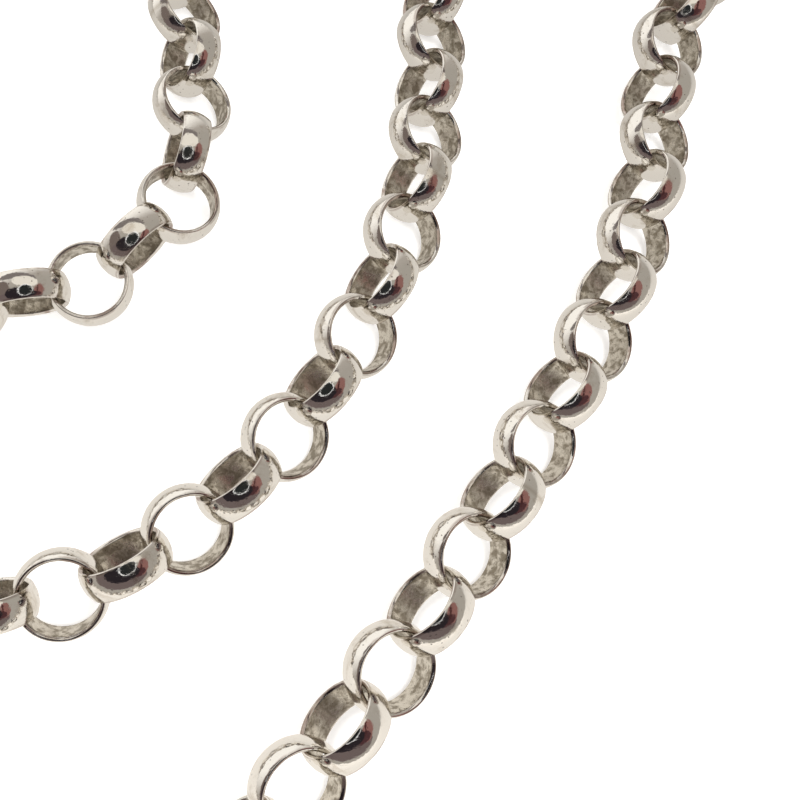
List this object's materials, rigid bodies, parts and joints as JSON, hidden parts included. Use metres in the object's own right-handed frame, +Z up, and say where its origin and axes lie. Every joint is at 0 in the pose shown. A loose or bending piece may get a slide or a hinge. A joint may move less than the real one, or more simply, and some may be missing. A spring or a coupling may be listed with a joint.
{
  "type": "chain necklace",
  "caption": "Silver belcher chain necklace of domed band rings with a trigger clasp, laid open in a looping curve.",
  "frame": {"origin": "centre of the bounding box, on the surface the chain lies on", "axes": "+Z up from the surface; the chain is laid open in the XY plane, its two ends towards -X"},
  "size_m": [0.1069, 0.109, 0.0065],
  "materials": {
    "silver": "polished silver with fine wear and slight tarnish",
    "spring_steel": "plain spring steel"
  },
  "bodies": {
    "link_pair_01": {"link_pair_01": "silver"},
    "link_pair_02": {"link_pair_02": "silver"},
    "link_pair_03": {"link_pair_03": "silver"},
    "link_pair_04": {"link_pair_04": "silver"},
    "link_pair_05": {"link_pair_05": "silver"},
    "link_pair_06": {"link_pair_06": "silver"},
    "link_pair_07": {"link_pair_07": "silver"},
    "link_pair_08": {"link_pair_08": "silver"},
    "link_pair_09": {"link_pair_09": "silver"},
    "link_pair_10": {"link_pair_10": "silver"},
    "link_pair_11": {"link_pair_11": "silver"},
    "link_pair_12": {"link_pair_12": "silver"},
    "link_pair_13": {"link_pair_13": "silver"},
    "link_pair_14": {"link_pair_14": "silver"},
    "link_pair_15": {"link_pair_15": "silver"},
    "link_pair_16": {"link_pair_16": "silver"},
    "link_pair_17": {"link_pair_17": "silver"},
    "link_pair_18": {"link_pair_18": "silver"},
    "link_pair_19": {"link_pair_19": "silver"},
    "link_pair_20": {"link_pair_20": "silver"},
    "link_pair_21": {"link_pair_21": "silver"},
    "link_pair_22": {"link_pair_22": "silver"},
    "link_pair_23": {"link_pair_23": "silver"},
    "link_pair_24": {"link_pair_24": "silver"},
    "link_pair_25": {"link_pair_25": "silver"},
    "link_pair_26": {"link_pair_26": "silver"},
    "link_pair_27": {"link_pair_27": "silver"},
    "link_pair_28": {"link_pair_28": "silver"},
    "link_pair_29": {"link_pair_29": "silver"},
    "link_pair_30": {"link_pair_30": "silver"},
    "link_pair_31": {"link_pair_31": "silver"},
    "link_pair_32": {"link_pair_32": "silver"},
    "link_pair_33": {"link_pair_33": "silver"},
    "link_pair_34": {"link_pair_34": "silver"},
    "link_pair_35": {"link_pair_35": "silver"},
    "link_pair_36": {"link_pair_36": "silver"},
    "link_pair_37": {"link_pair_37": "silver"},
    "link_pair_38": {"link_pair_38": "silver"},
    "link_pair_39": {"link_pair_39": "silver"},
    "link_pair_40": {"link_pair_40": "silver"},
    "link_pair_41": {"link_pair_41": "silver"},
    "link_pair_42": {"link_pair_42": "silver"},
    "link_pair_43": {"link_pair_43": "silver"},
    "link_pair_44": {"link_pair_44": "silver"},
    "link_pair_45": {"link_pair_45": "silver"},
    "link_pair_46": {"link_pair_46": "silver"},
    "link_pair_47": {"link_pair_47": "silver"},
    "link_pair_48": {"link_pair_48": "silver"},
    "link_pair_49": {"link_pair_49": "silver"},
    "link_pair_50": {"link_pair_50": "silver"},
    "link_pair_51": {"link_pair_51": "silver"},
    "end_ring": {"end_ring": "silver"},
    "clasp_jump_ring": {"clasp_jump_ring": "silver"},
    "clasp": {"clasp_body": "silver", "clasp_rivet": "silver", "clasp_spring": "spring_steel"},
    "clasp_lever": {"clasp_lever": "silver"}
  },
  "joints": [
    {"name": "link_pair_27_swing", "type": "hinge", "parent": "link_pair_26", "child": "link_pair_27", "pos_m": [0.01942, -0.00752, 0.00302], "axis": [-0.6762, 0.4149, 0.6088], "range_deg": [-50, 50]},
    {"name": "link_pair_28_swing", "type": "hinge", "parent": "link_pair_27", "child": "link_pair_28", "pos_m": [0.017, -0.01114, 0.00279], "axis": [0.4933, -0.3797, 0.7826], "range_deg": [-50, 50]},
    {"name": "link_pair_29_swing", "type": "hinge", "parent": "link_pair_28", "child": "link_pair_29", "pos_m": [0.00738, -0.01982, 0.00317], "axis": [0.3857, -0.6994, -0.6018], "range_deg": [-50, 50]},
    {"name": "link_pair_30_swing", "type": "hinge", "parent": "link_pair_29", "child": "link_pair_30", "pos_m": [-0.00079, -0.02263, 0.00328], "axis": [0.1342, -0.8556, -0.5], "range_deg": [-50, 50]},
    {"name": "link_pair_31_swing", "type": "hinge", "parent": "link_pair_30", "child": "link_pair_31", "pos_m": [-0.00933, -0.02206, 0.00319], "axis": [0.2476, 0.9382, 0.2419], "range_deg": [-50, 50]},
    {"name": "link_pair_32_swing", "type": "hinge", "parent": "link_pair_31", "child": "link_pair_32", "pos_m": [-0.01692, -0.01818, 0.003], "axis": [-0.6253, -0.7796, 0.0349], "range_deg": [-50, 50]},
    {"name": "link_pair_33_swing", "type": "hinge", "parent": "link_pair_32", "child": "link_pair_33", "pos_m": [-0.02051, -0.01111, 0.003], "axis": [0.9959, 0.0428, -0.0802], "range_deg": [-50, 50]},
    {"name": "link_pair_34_swing", "type": "hinge", "parent": "link_pair_33", "child": "link_pair_34", "pos_m": [-0.01755, -0.00374, 0.00299], "axis": [0.6849, -0.7178, -0.1253], "range_deg": [-50, 50]},
    {"name": "link_pair_35_swing", "type": "hinge", "parent": "link_pair_34", "child": "link_pair_35", "pos_m": [-0.01004, -0.00111, 0.00299], "axis": [0.0952, 0.9808, 0.1701], "range_deg": [-50, 50]},
    {"name": "link_pair_36_swing", "type": "hinge", "parent": "link_pair_35", "child": "link_pair_36", "pos_m": [-0.00143, -0.00081, 0.00334], "axis": [-0.1871, 0.9448, 0.2689], "range_deg": [-50, 50]},
    {"name": "link_pair_37_swing", "type": "hinge", "parent": "link_pair_36", "child": "link_pair_37", "pos_m": [0.00573, 0.00336, 0.00338], "axis": [0.7305, -0.6278, -0.2689], "range_deg": [-50, 50]},
    {"name": "link_pair_38_swing", "type": "hinge", "parent": "link_pair_37", "child": "link_pair_38", "pos_m": [0.00869, 0.01108, 0.00306], "axis": [0.8856, -0.0319, -0.4633], "range_deg": [-50, 50]},
    {"name": "link_pair_39_swing", "type": "hinge", "parent": "link_pair_38", "child": "link_pair_39", "pos_m": [0.00874, 0.01543, 0.00284], "axis": [0.5666, 0.0399, 0.823], "range_deg": [-50, 50]},
    {"name": "link_pair_40_swing", "type": "hinge", "parent": "link_pair_39", "child": "link_pair_40", "pos_m": [0.00636, 0.02824, 0.00306], "axis": [-0.5327, -0.1883, 0.8251], "range_deg": [-50, 50]},
    {"name": "link_pair_41_swing", "type": "hinge", "parent": "link_pair_40", "child": "link_pair_41", "pos_m": [0.00466, 0.03224, 0.00279], "axis": [-0.7047, -0.3429, -0.6211], "range_deg": [-50, 50]},
    {"name": "link_pair_42_swing", "type": "hinge", "parent": "link_pair_41", "child": "link_pair_42", "pos_m": [-0.00264, 0.04299, 0.00311], "axis": [0.5442, 0.5456, -0.6373], "range_deg": [-45, 50]},
    {"name": "link_pair_43_swing", "type": "hinge", "parent": "link_pair_42", "child": "link_pair_43", "pos_m": [-0.00965, 0.04805, 0.00319], "axis": [-0.4124, -0.7952, 0.4446], "range_deg": [-50, 40]},
    {"name": "link_pair_44_swing", "type": "hinge", "parent": "link_pair_43", "child": "link_pair_44", "pos_m": [-0.01785, 0.05071, 0.00313], "axis": [-0.1599, -0.9604, 0.2283], "range_deg": [-50, 50]},
    {"name": "link_pair_45_swing", "type": "hinge", "parent": "link_pair_44", "child": "link_pair_45", "pos_m": [-0.02644, 0.05073, 0.003], "axis": [0.1514, -0.9885, 0], "range_deg": [-50, 50]},
    {"name": "link_pair_46_swing", "type": "hinge", "parent": "link_pair_45", "child": "link_pair_46", "pos_m": [-0.03463, 0.04812, 0.003], "axis": [0.4495, -0.8933, 0], "range_deg": [-50, 50]},
    {"name": "link_pair_47_swing", "type": "hinge", "parent": "link_pair_46", "child": "link_pair_47", "pos_m": [-0.04161, 0.0431, 0.003], "axis": [-0.7035, 0.7107, 0], "range_deg": [-50, 50]},
    {"name": "link_pair_48_swing", "type": "hinge", "parent": "link_pair_47", "child": "link_pair_48", "pos_m": [-0.04628, 0.03599, 0.003], "axis": [-0.9318, 0.3631, 0], "range_deg": [-50, 50]},
    {"name": "link_pair_49_swing", "type": "hinge", "parent": "link_pair_48", "child": "link_pair_49", "pos_m": [-0.04886, 0.0277, 0.003], "axis": [0.9732, -0.2299, 0], "range_deg": [-50, 50]},
    {"name": "link_pair_50_swing", "type": "hinge", "parent": "link_pair_49", "child": "link_pair_50", "pos_m": [-0.05026, 0.01914, 0.003], "axis": [0.9957, -0.0922, 0], "range_deg": [-50, 50]},
    {"name": "link_pair_51_swing", "type": "hinge", "parent": "link_pair_50", "child": "link_pair_51", "pos_m": [-0.05045, 0.01046, 0.003], "axis": [-0.9989, -0.0473, 0], "range_deg": [-50, 50]},
    {"name": "link_pair_25_swing", "type": "hinge", "parent": "link_pair_26", "child": "link_pair_25", "pos_m": [0.0247, 0.00438, 0.00278], "axis": [0.6045, -0.1751, 0.7771], "range_deg": [-50, 50]},
    {"name": "link_pair_24_swing", "type": "hinge", "parent": "link_pair_25", "child": "link_pair_24", "pos_m": [0.0257, 0.00861, 0.00296], "axis": [-0.7566, 0.1515, 0.6361], "range_deg": [-50, 50]},
    {"name": "link_pair_23_swing", "type": "hinge", "parent": "link_pair_24", "child": "link_pair_23", "pos_m": [0.0269, 0.02159, 0.00271], "axis": [-0.6806, 0.0446, -0.7313], "range_deg": [-50, 50]},
    {"name": "link_pair_22_swing", "type": "hinge", "parent": "link_pair_23", "child": "link_pair_22", "pos_m": [0.02715, 0.02593, 0.0028], "axis": [0.7868, -0.0492, -0.6152], "range_deg": [-50, 50]},
    {"name": "link_pair_21_swing", "type": "hinge", "parent": "link_pair_22", "child": "link_pair_21", "pos_m": [0.02876, 0.03447, 0.00291], "axis": [-0.8524, 0.2458, 0.4616], "range_deg": [-50, 50]},
    {"name": "link_pair_20_swing", "type": "hinge", "parent": "link_pair_21", "child": "link_pair_20", "pos_m": [0.03314, 0.04179, 0.00297], "axis": [-0.6953, 0.6671, 0.2672], "range_deg": [-50, 50]},
    {"name": "link_pair_19_swing", "type": "hinge", "parent": "link_pair_20", "child": "link_pair_19", "pos_m": [0.04059, 0.0446, 0.003], "axis": [-0.0571, -0.9974, -0.0436], "range_deg": [-50, 50]},
    {"name": "link_pair_18_swing", "type": "hinge", "parent": "link_pair_19", "child": "link_pair_18", "pos_m": [0.04762, 0.04093, 0.00332], "axis": [0.7808, 0.5975, -0.1822], "range_deg": [-50, 50]},
    {"name": "link_pair_17_swing", "type": "hinge", "parent": "link_pair_18", "child": "link_pair_17", "pos_m": [0.0496, 0.03313, 0.0032], "axis": [-0.915, 0.1501, 0.3746], "range_deg": [-50, 50]},
    {"name": "link_pair_16_swing", "type": "hinge", "parent": "link_pair_17", "child": "link_pair_16", "pos_m": [0.04683, 0.02498, 0.00288], "axis": [-0.7732, 0.3702, 0.5149], "range_deg": [-50, 50]},
    {"name": "link_pair_15_swing", "type": "hinge", "parent": "link_pair_16", "child": "link_pair_15", "pos_m": [0.04349, 0.01244, 0.00278], "axis": [-0.6212, 0.102, -0.777], "range_deg": [-50, 50]},
    {"name": "link_pair_14_swing", "type": "hinge", "parent": "link_pair_15", "child": "link_pair_14", "pos_m": [0.04251, 0.0082, 0.00294], "axis": [0.7518, -0.1967, -0.6293], "range_deg": [-50, 50]},
    {"name": "link_pair_13_swing", "type": "hinge", "parent": "link_pair_14", "child": "link_pair_13", "pos_m": [0.03791, -0.00399, 0.00278], "axis": [0.5562, -0.2945, 0.7771], "range_deg": [-50, 50]},
    {"name": "link_pair_12_swing", "type": "hinge", "parent": "link_pair_13", "child": "link_pair_12", "pos_m": [0.03577, -0.00778, 0.00282], "axis": [-0.6741, 0.3866, 0.6293], "range_deg": [-50, 50]},
    {"name": "link_pair_11_swing", "type": "hinge", "parent": "link_pair_12", "child": "link_pair_11", "pos_m": [0.02899, -0.01893, 0.00278], "axis": [-0.5306, 0.3384, -0.7771], "range_deg": [-50, 50]},
    {"name": "link_pair_10_swing", "type": "hinge", "parent": "link_pair_11", "child": "link_pair_10", "pos_m": [0.02659, -0.02256, 0.00286], "axis": [0.6425, -0.4372, -0.6293], "range_deg": [-50, 50]},
    {"name": "link_pair_09_swing", "type": "hinge", "parent": "link_pair_10", "child": "link_pair_09", "pos_m": [0.01871, -0.03295, 0.00278], "axis": [0.4869, -0.3989, 0.7771], "range_deg": [-50, 50]},
    {"name": "link_pair_08_swing", "type": "hinge", "parent": "link_pair_09", "child": "link_pair_08", "pos_m": [0.01583, -0.03621, 0.00297], "axis": [-0.5645, 0.5342, 0.6293], "range_deg": [-50, 50]},
    {"name": "link_pair_07_swing", "type": "hinge", "parent": "link_pair_08", "child": "link_pair_07", "pos_m": [0.00575, -0.04445, 0.00278], "axis": [-0.3296, 0.5361, -0.7771], "range_deg": [-50, 50]},
    {"name": "link_pair_06_swing", "type": "hinge", "parent": "link_pair_07", "child": "link_pair_06", "pos_m": [0.00193, -0.04653, 0.00297], "axis": [0.3477, -0.695, -0.6293], "range_deg": [-50, 50]},
    {"name": "link_pair_05_swing", "type": "hinge", "parent": "link_pair_06", "child": "link_pair_05", "pos_m": [-0.01035, -0.05082, 0.00278], "axis": [0.1263, -0.6165, 0.7771], "range_deg": [-50, 50]},
    {"name": "link_pair_04_swing", "type": "hinge", "parent": "link_pair_05", "child": "link_pair_04", "pos_m": [-0.01466, -0.05147, 0.00297], "axis": [-0.0891, 0.772, 0.6293], "range_deg": [-50, 50]},
    {"name": "link_pair_03_swing", "type": "hinge", "parent": "link_pair_04", "child": "link_pair_03", "pos_m": [-0.02767, -0.0513, 0.00278], "axis": [0.0954, 0.6221, -0.7771], "range_deg": [-50, 50]},
    {"name": "link_pair_02_swing", "type": "hinge", "parent": "link_pair_03", "child": "link_pair_02", "pos_m": [-0.03191, -0.05035, 0.003], "axis": [-0.2015, -0.7506, -0.6293], "range_deg": [-50, 50]},
    {"name": "link_pair_01_swing", "type": "hinge", "parent": "link_pair_02", "child": "link_pair_01", "pos_m": [-0.04381, -0.0451, 0.00278], "axis": [-0.343, -0.5277, 0.7771], "range_deg": [-50, 50]},
    {"name": "end_ring_swing", "type": "hinge", "parent": "link_pair_01", "child": "end_ring", "pos_m": [-0.0473, -0.0425, 0.003], "axis": [0.4897, 0.6043, 0.6285], "range_deg": [-50, 50]},
    {"name": "jump_ring_swing", "type": "hinge", "parent": "link_pair_51", "child": "clasp_jump_ring", "pos_m": [-0.05025, 0.00612, 0.003], "axis": [0, 0, -1], "range_deg": [-50, 50]},
    {"name": "clasp_swing", "type": "hinge", "parent": "clasp_jump_ring", "child": "clasp", "pos_m": [-0.05006, 0.00212, 0.00305], "axis": [-0.9989, -0.0473, 0], "range_deg": [-40, 50]},
    {"name": "lever_pivot", "type": "hinge", "parent": "clasp", "child": "clasp_lever", "pos_m": [-0.05098, -0.00494, 0.0014], "axis": [0, 0, 1], "range_deg": [0, 20], "stiffness_Nm_per_rad": 0.002, "springref_deg": -5.73}
  ]
}
